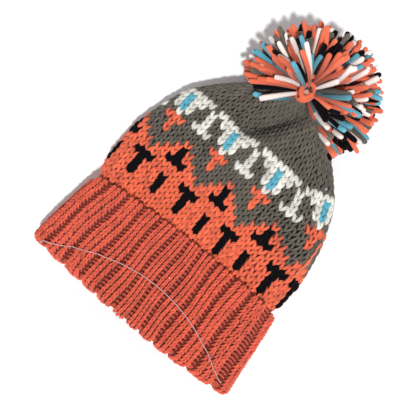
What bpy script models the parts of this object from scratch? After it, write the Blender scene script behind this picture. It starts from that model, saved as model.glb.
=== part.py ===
"""A knitted bobble hat that lies on its back, as closed solids in metres.

X runs across the hat, Y from its mouth to the bobble, and Z up from the surface it lies on.
The hat is made of four pieces: a ribbed cuff turned up outside itself, a hollow knitted
crown gathered to a tip, a bobble of yarn locks, and the wound yarn that ties it on.

Every outline across the hat is one family: a flat back on the floor, two round sides and a
wide front arc, tangent to each other. Its place along a girth is a share, from 0 at the
middle of the front, through the right side, to 0.5 at the middle of the back.
"""
import math
import random

import bmesh
import bpy
import numpy as np

MM = 0.001

# driving dimensions of the hat as it lies
HAT_LENGTH = 278 * MM
BODY_HALF_WIDTH = 111.5 * MM
BODY_HEIGHT = 47 * MM
BODY_SIDE_ROUND = 18.5 * MM
KNIT_WALL = 6.5 * MM

# the turned-up cuff
CUFF_HEIGHT = 95 * MM
CUFF_FLAP = 6.5 * MM
CUFF_LINING = 5.5 * MM
CUFF_SLOT = 0.4 * MM
LINING_HEIGHT = 84 * MM
MOUTH_HALF_WIDTH = 118 * MM
MOUTH_HEIGHT = 56 * MM
CUFF_TOP_HALF_WIDTH = 111.5 * MM
CUFF_TOP_HEIGHT = 53 * MM
CUFF_SIDE_ROUND = 23 * MM
MOUTH_BOW = 7 * MM
MOUTH_SKEW = 3 * MM
CUFF_TOP_BOW = 5 * MM
CUFF_EDGE_ROUND = 1.5 * MM
RIB_COUNT = 24
RIB_DEPTH = 2.5 * MM

# the tip, where the knit is gathered under the bobble
TIP_HEIGHT = 56 * MM
TIP_LIFT = 42 * MM
HOLLOW_END = 28 * MM

# the bobble and its tie
BOBBLE_RADIUS = 72 * MM
BOBBLE_OFFSET = 6 * MM
BOBBLE_BEYOND_TIP = -2.5 * MM
BOBBLE_HEIGHT = 50 * MM
BOBBLE_CORE = 13.4 * MM
LOCK_ROOT_SHARE = 0.66
LOCK_TIP_SHARE = 0.84
LOCK_SPREAD = 0.05
CROWN_WEDGE_DEG = 67
CROWN_DIP_DEG = 51
PARTING_DEG = 27
TIE_RADIUS = 5.6 * MM
TIE_YARN_RADIUS = 2.5 * MM

CLEARANCE = 0.35 * MM
RIM_CLEARANCE = 0.9 * MM
CROWN_SIDES = 72

# The crown's outline from the cuff to the tip. along: share of the way from the cuff's edge
# to the tip. wide and round: shares of the body's half width and side round. high: share of
# the way from the body's height to the tip's height. lift: share of the tip's lift.
CROWN_OUTLINE = (
    # along, wide, high, lift, round
    (0.040, 0.974, 0.00, 0.045, 1.00),
    (0.080, 0.990, 0.00, 0.000, 1.00),
    (0.145, 1.000, 0.00, 0.000, 1.00),
    (0.230, 1.000, 0.00, 0.000, 1.00),
    (0.310, 0.994, 0.00, 0.000, 1.00),
    (0.385, 0.974, 0.00, 0.000, 1.00),
    (0.445, 0.952, 0.00, 0.000, 1.00),
    (0.525, 0.914, 0.00, 0.000, 1.00),
    (0.600, 0.870, 0.00, 0.000, 1.00),
    (0.670, 0.808, 0.05, 0.024, 0.98),
    (0.750, 0.698, 0.15, 0.095, 0.94),
    (0.804, 0.602, 0.30, 0.190, 0.88),
    (0.864, 0.475, 0.50, 0.340, 0.80),
    (0.912, 0.350, 0.75, 0.510, 0.66),
    (0.957, 0.215, 1.00, 0.710, 0.50),
    (0.984, 0.117, 1.00, 0.850, 0.34),
    (1.000, 0.054, 0.80, 0.960, 0.19),
)

# Folds pressed into the crown's front. Each runs from (start_x, start_y) to (end_x, end_y),
# as shares of the body's half width and of the hat's length. deep and broad are shares of
# the body's height, and a negative depth is a swelling beside a fold.
CROWN_FOLDS = (
    # start_x, start_y, end_x, end_y, deep, broad
    (0.05, 0.965, -0.24, 0.800, 0.24, 0.16),
    (-0.16, 0.955, -0.44, 0.820, -0.07, 0.30),
    (0.13, 0.960, 0.36, 0.860, 0.06, 0.14),
)

# How a fold fades: softly past its ends over this share of its run, and from a shallow start
# to its deepest near the middle of its run.
FOLD_END_FADE = 0.30
FOLD_SHALLOWEST = 0.35
FOLD_SWELL_START = 0.12
FOLD_SWELL_RUN = 0.76
FOLD_SIDE_FADE = 0.7

# One rib, from furrow to furrow: shares of its width, and how far each lies down in a furrow.
RIB_CORNERS = (0.05, 0.17, 0.50, 0.83, 0.95)
RIB_FURROW = (1.0, 0.12, 0.0, 0.12, 1.0)


def knit_material(name, colour, roughness):
    """A plain yarn finish for one piece."""
    material = bpy.data.materials.new(name)
    material.use_nodes = True
    shader = material.node_tree.nodes["Principled BSDF"]
    shader.inputs["Base Color"].default_value = (*colour, 1.0)
    shader.inputs["Roughness"].default_value = roughness
    shader.inputs["Metallic"].default_value = 0.0
    return material


def outline_across(half_width, back, front, side_round, share):
    """Points of outlines across the hat, at shares of the girth.

    With d the half width less the side round, r the side round and h the height, the front
    arc that is tangent to both round sides has the radius (d^2 + (h-r)^2 - r^2) / (2(h-2r)).
    """
    flat = half_width - side_round
    height = front - back
    front_radius = (flat**2 + (height - side_round)**2 - side_round**2) / (2 * (height - 2 * side_round))
    half_angle = np.arcsin(flat / (front_radius - side_round))
    front_arc = front_radius * half_angle
    side_arc = side_round * (math.pi - half_angle)
    mirrored = np.where(share % 1.0 > 0.5, -1.0, 1.0)
    way = 2 * np.minimum(share % 1.0, 1.0 - share % 1.0) * (front_arc + side_arc + flat)
    on_front = way < front_arc
    on_side = ~on_front & (way < front_arc + side_arc)
    front_turn = way / front_radius
    side_turn = half_angle + (way - front_arc) / side_round
    back_x = flat - (way - front_arc - side_arc)
    x = np.where(on_front, front_radius * np.sin(front_turn),
                 np.where(on_side, flat + side_round * np.sin(side_turn), back_x))
    z = np.where(on_front, front - front_radius * (1 - np.cos(front_turn)),
                 np.where(on_side, back + side_round * (1 + np.cos(side_turn)), back))
    return x * mirrored, z


def cuff_outline(along, offset, share):
    """Points of the cuff at shares of its height, offset outwards from the flap's inner side."""
    inset = CUFF_FLAP - offset
    half_width = MOUTH_HALF_WIDTH + (CUFF_TOP_HALF_WIDTH - MOUTH_HALF_WIDTH) * along
    front = MOUTH_HEIGHT + (CUFF_TOP_HEIGHT - MOUTH_HEIGHT) * along
    return outline_across(half_width - inset, inset, front - inset, CUFF_SIDE_ROUND - inset, share)


def loft(name, rings, closed_loop, collection):
    """A mesh object from rings of points, bridged in turn; open lofts get end caps."""
    mesh = bpy.data.meshes.new(name)
    model = bmesh.new()
    rows = [[model.verts.new(point) for point in ring] for ring in rings]
    pairs = list(zip(rows, rows[1:]))
    if closed_loop:
        pairs.append((rows[-1], rows[0]))
    for lower, upper in pairs:
        for i in range(len(lower)):
            j = (i + 1) % len(lower)
            model.faces.new((lower[i], lower[j], upper[j], upper[i]))
    if not closed_loop:
        model.faces.new(rows[0])
        model.faces.new(rows[-1])
    bmesh.ops.recalc_face_normals(model, faces=model.faces)
    model.to_mesh(mesh)
    model.free()
    mesh.shade_smooth()
    mesh.set_sharp_from_angle(angle=math.radians(50))
    piece = bpy.data.objects.new(name, mesh)
    collection.objects.link(piece)
    return piece


def frontness(share):
    """1 at the middle of the front, falling to 0 at the sides and all over the back."""
    return np.maximum(0.0, np.cos(2 * math.pi * share))


def flap_edge(share):
    """Height of the flap's upper edge, which bows towards the bobble in front."""
    return CUFF_HEIGHT - CUFF_TOP_BOW * (1 - frontness(share))


def mouth_fold(share):
    """Where the mouth's fold lies along Y: bowed forwards in front, and lower on the right."""
    return MOUTH_BOW * (1 - frontness(share)) - MOUTH_SKEW * np.sin(2 * math.pi * share)


def rib_shares():
    """Girth shares of the ribs' corners, and how far each lies down in a furrow.

    The middle of the front lies in a furrow, as in the real cuff.
    """
    shares = (np.arange(RIB_COUNT)[:, None] + np.array(RIB_CORNERS)[None, :]) / RIB_COUNT
    return shares.ravel(), np.tile(RIB_FURROW, RIB_COUNT)


def make_cuff(collection):
    """The ribbed band: a lining, a round fold at the mouth, and the flap turned up outside."""
    shares, furrow = rib_shares()
    fold_y = mouth_fold(shares)
    top_y = flap_edge(shares)
    lining_y = np.full_like(shares, LINING_HEIGHT)
    fold_radius = (CUFF_FLAP + CUFF_SLOT + CUFF_LINING) / 2
    fold_middle = CUFF_FLAP - fold_radius
    slot_y = fold_y + fold_radius
    inside = -CUFF_SLOT - CUFF_LINING

    profile = [
        (CUFF_FLAP - RIB_DEPTH * furrow, top_y - CUFF_EDGE_ROUND),
        (CUFF_FLAP / 2 - RIB_DEPTH / 2 * furrow, top_y),
        (0 * shares, top_y - CUFF_EDGE_ROUND),
        (0 * shares, slot_y),
        (0 * shares - CUFF_SLOT, slot_y),
        (0 * shares - CUFF_SLOT, lining_y),
        (0 * shares + inside, lining_y),
    ]
    for turn_deg, relief in ((180, 0.0), (135, 0.5), (90, 1.0), (45, 1.0), (0, 1.0)):
        turn = math.radians(turn_deg)
        reach = fold_radius - RIB_DEPTH * relief * furrow
        profile.append((fold_middle + reach * math.cos(turn), slot_y - reach * math.sin(turn)))

    rings = []
    for offset, y in profile:
        x, z = cuff_outline(y / CUFF_HEIGHT, offset, shares)
        rings.append(np.stack([x, y, z], axis=1))
    return loft("cuff", rings, True, collection)


def fold_drop(x, y):
    """How far the crown's folds press its front down at (x, y)."""
    drop = np.zeros_like(x)
    for start_x, start_y, end_x, end_y, deep, broad in CROWN_FOLDS:
        start = np.array([start_x * BODY_HALF_WIDTH, start_y * HAT_LENGTH])
        run = np.array([end_x * BODY_HALF_WIDTH, end_y * HAT_LENGTH]) - start
        away_x, away_y = x - start[0], y - start[1]
        along = (away_x * run[0] + away_y * run[1]) / (run @ run)
        beside = (away_x * run[1] - away_y * run[0]) / math.sqrt(run @ run)
        swell = np.sin(math.pi * np.clip(FOLD_SWELL_START + FOLD_SWELL_RUN * along, 0, 1))
        fade = np.exp(-((np.clip(along, 0, 1) - along) / FOLD_END_FADE)**2)
        fade *= FOLD_SHALLOWEST + (1 - FOLD_SHALLOWEST) * swell
        drop += deep * BODY_HEIGHT * fade * np.exp(-(beside / (broad * BODY_HEIGHT))**2)
    return drop


def crown_ring(wide, high, lift, roundness, y, inset, shares):
    """One ring of the crown, set in from its outer side by inset."""
    front = BODY_HEIGHT + (TIP_HEIGHT - BODY_HEIGHT) * high
    x, z = outline_across(wide * BODY_HALF_WIDTH - inset, lift * TIP_LIFT + inset, front - inset,
                          roundness * BODY_SIDE_ROUND - inset, shares)
    z = z - fold_drop(x, y) * frontness(shares)**FOLD_SIDE_FADE
    return np.stack([x, np.full_like(x, y), z], axis=1)


def make_crown(collection):
    """The hollow knitted crown: tucked behind the flap, domed in front, gathered at the tip."""
    shares = np.arange(CROWN_SIDES) / CROWN_SIDES
    rim_y = np.full_like(shares, LINING_HEIGHT + CLEARANCE)
    outer, inner = [], []
    for y in (rim_y, flap_edge(shares) + CLEARANCE):
        for rings, inset in ((outer, RIM_CLEARANCE), (inner, KNIT_WALL)):
            x, z = cuff_outline(y / CUFF_HEIGHT, -inset, shares)
            rings.append(np.stack([x, y, z], axis=1))
    for along, wide, high, lift, roundness in CROWN_OUTLINE:
        y = CUFF_HEIGHT + along * (HAT_LENGTH - CUFF_HEIGHT)
        outer.append(crown_ring(wide, high, lift, roundness, y, 0.0, shares))
        if y < HAT_LENGTH - HOLLOW_END:
            inner.append(crown_ring(wide, high, lift, roundness, y, KNIT_WALL, shares))
    return loft("crown", inner[::-1] + outer, False, collection)


def toward(azimuth, dip):
    """Unit vector turned from -Y towards +X by azimuth and up by a negative dip."""
    return np.array([math.sin(azimuth) * math.cos(dip), -math.cos(azimuth) * math.cos(dip),
                     -math.sin(dip)])


def lock_cells():
    """The cells of a ball, one around each corner of an icosphere, as lists of directions."""
    ball = bmesh.new()
    bmesh.ops.create_icosphere(ball, subdivisions=3, radius=1.0)
    centres = {face.index: np.array(face.calc_center_median().normalized()) for face in ball.faces}
    cells = []
    for corner in ball.verts:
        axis = np.array(corner.co.normalized())
        side = np.cross(axis, (0.0, 0.0, 1.0) if abs(axis[2]) < 0.9 else (1.0, 0.0, 0.0))
        side /= np.linalg.norm(side)
        other = np.cross(axis, side)
        around = sorted((face.index for face in corner.link_faces),
                        key=lambda index: math.atan2(centres[index] @ other, centres[index] @ side))
        cells.append((axis, around))
    ball.free()
    return cells, centres


def is_bare(direction):
    """True where no locks stand: over the crown's tip, and in the parting above the tie."""
    dip = math.degrees(math.asin(-direction[2]))
    azimuth = math.degrees(math.atan2(direction[0], -direction[1]))
    over_crown = abs(azimuth) < CROWN_WEDGE_DEG and dip < CROWN_DIP_DEG
    return over_crown or 90 + dip < PARTING_DEG


def make_bobble(collection):
    """Yarn locks fused to a core: each cell of a ball is drawn out and ends in a blunt tip."""
    dice = random.Random(7)
    cells, centres = lock_cells()
    hub = np.array([BOBBLE_OFFSET, HAT_LENGTH + CLEARANCE + BOBBLE_CORE, BOBBLE_HEIGHT])
    ball_centre = np.array([BOBBLE_OFFSET, HAT_LENGTH + BOBBLE_BEYOND_TIP, BOBBLE_HEIGHT])

    def reach(direction, share):
        """Distance from the hub to a share of the ball's surface, no lower than the floor."""
        back = ball_centre - hub
        middle = direction @ back
        distance = middle + math.sqrt((BOBBLE_RADIUS * share)**2 - back @ back + middle**2)
        if direction[2] < 0:
            distance = min(distance, BOBBLE_HEIGHT / -direction[2])
        return distance

    bare = [is_bare(axis) for axis, _ in cells]
    bare_corners = {index for (_, around), empty in zip(cells, bare) if empty for index in around}
    model = bmesh.new()
    roots = {}
    for index, direction in centres.items():
        length = BOBBLE_CORE if index in bare_corners else reach(direction, LOCK_ROOT_SHARE)
        roots[index] = model.verts.new(hub + length * direction)
    for (axis, around), empty in zip(cells, bare):
        root = [roots[index] for index in around]
        if empty:
            model.faces.new(root)
            continue
        full = 1 - LOCK_SPREAD * dice.random()
        tip = []
        for index in around:
            direction = axis + LOCK_TIP_SHARE * (centres[index] - axis)
            direction /= np.linalg.norm(direction)
            tip.append(model.verts.new(hub + reach(direction, full) * direction))
        model.faces.new(tip)
        for i in range(len(around)):
            j = (i + 1) % len(around)
            model.faces.new((root[i], root[j], tip[j], tip[i]))
    bmesh.ops.recalc_face_normals(model, faces=model.faces)
    mesh = bpy.data.meshes.new("pompom")
    model.to_mesh(mesh)
    model.free()
    bobble = bpy.data.objects.new("pompom", mesh)
    collection.objects.link(bobble)
    return bobble


def make_tie(collection, crown):
    """The wound yarn at the bobble's heart: a ring seated on the crown's tip."""
    reach = TIE_RADIUS + TIE_YARN_RADIUS
    seat = max(vertex.co.z for vertex in crown.data.vertices if vertex.co.y > HAT_LENGTH - 2 * reach)
    bpy.ops.mesh.primitive_torus_add(major_radius=TIE_RADIUS, minor_radius=TIE_YARN_RADIUS,
                                     major_segments=20, minor_segments=10)
    tie = bpy.context.active_object
    tie.name = "pompom_tie"
    tie.data.name = "pompom_tie"
    for holder in list(tie.users_collection):
        holder.objects.unlink(tie)
    collection.objects.link(tie)
    tie.location = (0.0, HAT_LENGTH - reach, seat + TIE_YARN_RADIUS + CLEARANCE)
    tie.data.shade_smooth()
    return tie


def centre_on_origin(pieces):
    """Moves the pieces along Y so that the middle of their common box is at the origin."""
    bpy.context.view_layer.update()
    reaches = [(piece.matrix_world @ vertex.co).y for piece in pieces for vertex in piece.data.vertices]
    middle = (min(reaches) + max(reaches)) / 2
    for piece in pieces:
        piece.location.y -= middle


def main():
    for old in list(bpy.data.objects):
        bpy.data.objects.remove(old, do_unlink=True)
    hat = bpy.data.collections.new("bobble_hat")
    bpy.context.scene.collection.children.link(hat)

    cuff = make_cuff(hat)
    crown = make_crown(hat)
    bobble = make_bobble(hat)
    tie = make_tie(hat, crown)
    cuff.data.materials.append(knit_material("salmon_rib_knit", (0.62, 0.12, 0.07), 0.9))
    crown.data.materials.append(knit_material("orange_knit", (0.80, 0.15, 0.07), 0.9))
    bobble.data.materials.append(knit_material("cut_coral_yarn", (0.78, 0.16, 0.09), 0.95))
    tie.data.materials.append(knit_material("wound_coral_yarn", (0.74, 0.15, 0.09), 0.9))
    centre_on_origin([cuff, crown, bobble, tie])


main()
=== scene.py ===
"""Looks of a knitted bobble hat lying on its back: every stitch and strand is laid as yarn.

Places on the hat are (share, y, rise). share runs round the girth, from 0 at the middle of the
front, through the right side, to 0.5 at the middle of the back. y runs along the hat, from 0
at the mouth's fold to HAT_LENGTH at the gathered tip. rise is the height over the CAD's skin.
"""
import math

import bpy
import numpy as np
from mathutils import Matrix, Vector


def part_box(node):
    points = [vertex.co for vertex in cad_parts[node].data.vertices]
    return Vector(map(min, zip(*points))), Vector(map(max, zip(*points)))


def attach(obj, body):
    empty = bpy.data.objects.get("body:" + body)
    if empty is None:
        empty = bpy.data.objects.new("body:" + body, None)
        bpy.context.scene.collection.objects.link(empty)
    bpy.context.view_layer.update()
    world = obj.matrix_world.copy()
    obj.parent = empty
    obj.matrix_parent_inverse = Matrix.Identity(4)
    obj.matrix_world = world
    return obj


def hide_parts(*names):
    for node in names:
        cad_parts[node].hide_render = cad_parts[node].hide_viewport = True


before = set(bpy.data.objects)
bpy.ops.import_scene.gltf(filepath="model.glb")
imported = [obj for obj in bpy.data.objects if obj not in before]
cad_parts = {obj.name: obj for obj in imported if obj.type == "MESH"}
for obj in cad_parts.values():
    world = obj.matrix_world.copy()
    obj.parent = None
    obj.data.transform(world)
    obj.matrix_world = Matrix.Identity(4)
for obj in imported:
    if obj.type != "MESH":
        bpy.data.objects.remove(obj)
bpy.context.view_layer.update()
MM = 0.001

# sizes that the solids were built to
HAT_LENGTH = 278 * MM
BODY_HALF_WIDTH = 111.5 * MM
BODY_HEIGHT = 47 * MM
BODY_SIDE_ROUND = 18.5 * MM
KNIT_WALL = 6.5 * MM
CUFF_HEIGHT = 95 * MM
CUFF_FLAP = 6.5 * MM
CUFF_LINING = 5.5 * MM
CUFF_SLOT = 0.4 * MM
LINING_HEIGHT = 84 * MM
MOUTH_HALF_WIDTH = 118 * MM
MOUTH_HEIGHT = 56 * MM
CUFF_TOP_HALF_WIDTH = 111.5 * MM
CUFF_TOP_HEIGHT = 53 * MM
CUFF_SIDE_ROUND = 23 * MM
MOUTH_BOW = 7 * MM
MOUTH_SKEW = 3 * MM
CUFF_TOP_BOW = 5 * MM
RIB_COUNT = 24
RIB_DEPTH = 3.4 * MM
TIP_HEIGHT = 56 * MM
TIP_LIFT = 42 * MM
RIM_CLEARANCE = 0.9 * MM
BOBBLE_RADIUS = 72 * MM
BOBBLE_OFFSET = 6 * MM
BOBBLE_BEYOND_TIP = -2.5 * MM
BOBBLE_HEIGHT = 50 * MM

# the frame gives where the hat's own y = 0 lies
Y_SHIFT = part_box("crown")[1][1] - HAT_LENGTH

# The crown's outline, as the solids have it: along the way from the cuff to the tip, shares
# of the half width, of the way to the tip's height and lift, and of the side round.
CROWN_OUTLINE = np.array([
    # along, wide, high, lift, round
    (0.040, 0.974, 0.00, 0.045, 1.00),
    (0.080, 0.990, 0.00, 0.000, 1.00),
    (0.145, 1.000, 0.00, 0.000, 1.00),
    (0.230, 1.000, 0.00, 0.000, 1.00),
    (0.310, 0.994, 0.00, 0.000, 1.00),
    (0.385, 0.974, 0.00, 0.000, 1.00),
    (0.445, 0.952, 0.00, 0.000, 1.00),
    (0.525, 0.914, 0.00, 0.000, 1.00),
    (0.600, 0.870, 0.00, 0.000, 1.00),
    (0.670, 0.808, 0.05, 0.024, 0.98),
    (0.750, 0.698, 0.15, 0.095, 0.94),
    (0.804, 0.602, 0.30, 0.190, 0.88),
    (0.864, 0.475, 0.50, 0.340, 0.80),
    (0.912, 0.350, 0.75, 0.510, 0.66),
    (0.957, 0.215, 1.00, 0.710, 0.50),
    (0.984, 0.117, 1.00, 0.850, 0.34),
    (1.000, 0.054, 0.80, 0.960, 0.19),
])

# Folds pressed into the crown's front. Each runs from (start_x, start_y) to (end_x, end_y), as
# shares of the body's half width and of the hat's length. deep, left and right are its depth
# and its width on either side, as shares of the body's height; a negative depth is a swelling.
CROWN_FOLDS = (
    # start_x, start_y, end_x, end_y, deep, left, right
    (0.085, 0.950, -0.215, 0.775, 0.60, 0.48, 0.24),
    (0.30, 0.935, 0.55, 0.850, 0.07, 0.25, 0.14),
)
# a fold fades past its ends over this share of its length, and is this deep there
FOLD_END_REACH = 0.30
FOLD_END_DEPTH = 0.35
FOLD_END_TURN = 0.12
# how soon the folds fade towards the hat's sides
FOLD_SIDE_POWER = 0.7

# The colour chart of the crown, one repeat of eight stitches, top row first. The fourth stitch
# is the middle of a T and the eighth lies midway between two. o orange, g grey, w white,
# b blue, k black. All rows above are grey and all rows below are orange.
CHART = (
    "wwwwwwwg",
    "gwwbwwgw",
    "ggwbwggw",
    "ggwbwggw",
    "wggwggww",
    "ggoooggg",
    "gggogggg",
    "gggogggo",
    "ogggggok",
    "oogggook",
    "koogookk",
    "oooooooo",
    "ookkkooo",
    "oookoook",
    "oookoook",
    "oookoook",
)
STITCHES_ROUND = 68
SEAM_SHARE = 0.204
# rows are counted from the chart's lowest; the plain grey wales over TOP_ROW run to the tip
FIRST_ROW = -3
LAST_ROW = 24
TOP_ROW = 17
EVEN_ROWS = 12
TIP_MARGIN = 2 * MM

# Wales run straight up the front this far each way, as a share of the full girth, and crowd
# together behind. Near the tip they draw closer by this power of the girth that is left.
STRAIGHT_SHARE = 0.19
FULL_GIRTH_Y = 125 * MM
DRAWING_IN = 0.35
SIDE_DRAWING_IN = 0.80
WIDEST_SPREAD = 1.5

# Where the knit is stretched or eased across: even shares of the girth and where they lie.
STRETCH_EVEN = (-0.5, -0.25, -0.1867, -0.0690, 0.0486, 0.1662, 0.25, 0.5)
STRETCH_REAL = (-0.5, -0.243, -0.1765, -0.0570, 0.0530, 0.1690, 0.252, 0.5)

# How the rows lie: shares of the girth, the height of row 0 there and the rows' pitch.
ROW_SHARE = (-0.5, -0.25, -0.1765, -0.0570, 0.0530, 0.1200, 0.1700, 0.204, 0.5)
ROW_START = np.array((106.5, 114.3, 114.5, 108.8, 102.0, 103.0, 100.5, 100.7, 106.5)) * MM
ROW_PITCH = np.array((6.9, 6.75, 6.65, 6.5, 6.75, 6.45, 7.70, 8.0, 6.9)) * MM

# Where the knit is pulled aside towards the right: the place, the reach and how far.
PULLS = (
    # share, y, share_reach, y_reach, far
    (0.178, 168 * MM, 0.045, 38 * MM, 13.0 * MM),
    (0.118, 178 * MM, 0.040, 26 * MM, 5.0 * MM),
    (0.055, 192 * MM, 0.035, 18 * MM, 3.5 * MM),
    (0.112, 108 * MM, 0.030, 22 * MM, -4.0 * MM),
)

# Where the cuff's furrows lie near the flap's edge, as shares of the girth, in front.
FURROWS = (-0.2330, -0.1887, -0.1433, -0.1008, -0.0643, -0.0269, 0.0027, 0.0340, 0.0702, 0.1123,
           0.1556, 0.2043, 0.2440)
# how far the ribs lean aside at the mouth, as shares of the girth
LEAN_SHARE = (-0.5, -0.25, -0.17, -0.09, 0.0, 0.08, 0.15, 0.21, 0.25, 0.5)
LEAN = (0.0, -0.006, -0.012, -0.010, -0.004, -0.008, -0.015, -0.004, 0.0, 0.0)
LEAN_POWER = 0.8
# stitch rows up the flap, and the three wales on each rib and their pitch as shares of the rib
CUFF_ROWS = 24
FIRST_CUFF_ROW = -3
WALES = (0.235, 0.50, 0.765)
WALE_PITCH = 0.255
# a furrow is a sharp dip, of this share of the depth and this half width, in a broad round one
FURROW_SHARP = 0.60
FURROW_REACH = 0.11
# on the left the flap's edge is drawn in, and both of its corners are rounded off
FLAP_DRAWN_IN = 4.5 * MM
FLAP_CORNER = 4.0 * MM
CORNER_SHARE = 0.245
CORNER_REACH = 0.028
DRAWN_FROM = 0.35
DRAWN_OVER = 0.6
# the share of the way up the flap that the mouth's fold takes
FOLD_WAY = 0.10
# the one furrow that lies open, so that its purl bars show
OPEN_FURROW = 11
# the ribs waver a little along their length, each out of step with the next
RIB_WOBBLE = 0.0016
WOBBLE_ALONG = 9
WOBBLE_ROUND = 40

# a stitch's leg is thin at its foot, fullest in its middle and thinner again at its head
LEG_SWELL = np.array([0.38, 0.72, 0.94, 1.0, 0.97, 0.88, 0.68])
YARN_SIDES = 6
# yarn on the table is pressed flat this far above it
TABLE_TOUCH = 0.05 * MM
# the step over the skin that gives the direction out of it
OUTWARD_STEP = 5 * MM
DICE = np.random.default_rng(11)


def to_linear(code):
    """A linear colour from an sRGB hex code, by the standard's two-part curve."""
    value = np.array([int(code[i:i + 2], 16) / 255 for i in (1, 3, 5)])
    return np.where(value <= 0.04045, value / 12.92, ((value + 0.055) / 1.055)**2.4)


ORANGE = "#F7704B"
SALMON = "#EA6247"
GREY = "#686156"
WHITE = "#EAE8DE"
BLUE = "#5FB4CB"
BLACK = "#0A070D"
CORAL = "#F57450"
PALE_PINK = "#FBEDE7"
THREAD = "#CFA9A8"
SLACK_ORANGE = "#F0835F"
# the purl bars: the cuff's salmon yarn, darkened by painted shade where they lie in the furrows
PURL_IN_PAINTED_SHADE = "#C8523A"
# the cuff's wall, seen in the furrows and between the stitches: the salmon yarn darkened into painted
# shade
RIB_BASE_IN_PAINTED_SHADE = "#782818"
HEART_PINK = "#D99A88"
# The crown's yarns: name, colour, radius, and how light the floats behind their stitches are,
# as a share of the colour: painted shade that darkens the gaps between the stitches.
CROWN_YARNS = {"o": ("orange", ORANGE, 1.82 * MM, 0.34), "g": ("grey", GREY, 1.46 * MM, 0.12),
               "w": ("white", WHITE, 2.1 * MM, 0.60), "b": ("blue", BLUE, 2.35 * MM, 0.40),
               "k": ("black", BLACK, 2.45 * MM, 0.30)}


def eased(x, stations, values):
    """Catmull-Rom curve through (stations, values): each span is a cubic with mean slopes."""
    x = np.clip(x, stations[0], stations[-1])
    slope = np.gradient(values, stations)
    i = np.clip(np.searchsorted(stations, x, side="right") - 1, 0, len(stations) - 2)
    width = stations[i + 1] - stations[i]
    t = (x - stations[i]) / width
    return ((2 * t**3 - 3 * t**2 + 1) * values[i] + (t**3 - 2 * t**2 + t) * width * slope[i]
            + (3 * t**2 - 2 * t**3) * values[i + 1] + (t**3 - t**2) * width * slope[i + 1])


def centred(share):
    """A share of the girth, or a place among the ribs, brought between -0.5 and 0.5."""
    return (share + 0.5) % 1.0 - 0.5


def frontness(share):
    """1 at the middle of the front, falling to 0 at the sides and all over the back."""
    return np.maximum(0.0, np.cos(2 * math.pi * share))


def arcs_across(half_width, back, front, side_round):
    """Side radius, flat half, front radius, half angle and two arc lengths of an outline.

    With d the half width less the side round, r the side round and h the height, the front
    arc has the radius (d^2 + (h-r)^2 - r^2) / (2(h-2r)).
    """
    least_round = 0.4 * MM
    least_flat = 0.2 * MM
    side_round = np.maximum(side_round, least_round)
    flat = np.maximum(half_width - side_round, least_flat)
    height = np.maximum(front - back, 2 * side_round + least_flat)
    arc_radius = (flat**2 + (height - side_round)**2 - side_round**2) / (2 * (height - 2 * side_round))
    half_angle = np.arcsin(np.clip(flat / (arc_radius - side_round), -1, 1))
    front_arc = arc_radius * half_angle
    side_arc = side_round * (math.pi - half_angle)
    return side_round, flat, arc_radius, half_angle, front_arc, side_arc


def outline_across(half_width, back, front, side_round, share):
    """Point of an outline across the hat: flat back, two side arcs and a tangent front arc."""
    side_round, flat, arc_radius, half_angle, front_arc, side_arc = arcs_across(
        half_width, back, front, side_round)
    wrapped = share % 1.0
    way = 2 * np.minimum(wrapped, 1.0 - wrapped) * (front_arc + side_arc + flat)
    turn = half_angle + (way - front_arc) / side_round
    x = np.where(way < front_arc, arc_radius * np.sin(way / arc_radius),
                 np.where(way < front_arc + side_arc, flat + side_round * np.sin(turn),
                          flat - (way - front_arc - side_arc)))
    z = np.where(way < front_arc, front - arc_radius * (1 - np.cos(way / arc_radius)),
                 np.where(way < front_arc + side_arc, back + side_round * (1 + np.cos(turn)), back))
    return x * np.where(wrapped > 0.5, -1.0, 1.0), z


def fold_drop(x, y):
    """How far the crown's folds press its front down at (x, y).

    Across a fold the depth is a bell, exp(-(beside / broad)^2). Along it the depth follows a
    sine, deepest in the middle, and fades past the ends by another bell.
    """
    drop = np.zeros(np.broadcast(x, y).shape)
    for start_x, start_y, end_x, end_y, deep, left, right in CROWN_FOLDS:
        start = np.array([start_x * BODY_HALF_WIDTH, start_y * HAT_LENGTH])
        run = np.array([end_x * BODY_HALF_WIDTH, end_y * HAT_LENGTH]) - start
        away_x, away_y = x - start[0], y - start[1]
        along = (away_x * run[0] + away_y * run[1]) / (run @ run)
        beside = (away_x * run[1] - away_y * run[0]) / math.sqrt(run @ run)
        past_end = (np.clip(along, 0, 1) - along) / FOLD_END_REACH
        turn = math.pi * np.clip(FOLD_END_TURN + (1 - 2 * FOLD_END_TURN) * along, 0, 1)
        fade = np.exp(-past_end**2) * (FOLD_END_DEPTH + (1 - FOLD_END_DEPTH) * np.sin(turn))
        broad = np.where(beside > 0, left, right) * BODY_HEIGHT
        drop = drop + deep * BODY_HEIGHT * fade * np.exp(-(beside / broad)**2)
    return drop


def cuff_size(along):
    """Half width and front height of the cuff at a share of its height: straight lines to its top."""
    half_width = MOUTH_HALF_WIDTH + (CUFF_TOP_HALF_WIDTH - MOUTH_HALF_WIDTH) * along
    return half_width, MOUTH_HEIGHT + (CUFF_TOP_HEIGHT - MOUTH_HEIGHT) * along


def crown_stations():
    """The crown's outline as plain sizes at stations along y, with the tucked rim in front.

    The rows are y, half width, back, front and side round.
    """
    inset = CUFF_FLAP + RIM_CLEARANCE
    rim_y = np.array([LINING_HEIGHT, CUFF_HEIGHT - CUFF_TOP_BOW / 2])
    rim_width, rim_front = cuff_size(rim_y / CUFF_HEIGHT)
    rim = np.stack([rim_y, rim_width - inset, inset + 0 * rim_y, rim_front - inset,
                    CUFF_SIDE_ROUND - inset + 0 * rim_y])
    along, wide, high, lift, roundness = CROWN_OUTLINE.T
    body = np.stack([CUFF_HEIGHT + along * (HAT_LENGTH - CUFF_HEIGHT), wide * BODY_HALF_WIDTH,
                     lift * TIP_LIFT, BODY_HEIGHT + (TIP_HEIGHT - BODY_HEIGHT) * high,
                     roundness * BODY_SIDE_ROUND])
    return np.concatenate([rim, body], axis=1)


CROWN_STATIONS = crown_stations()


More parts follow.
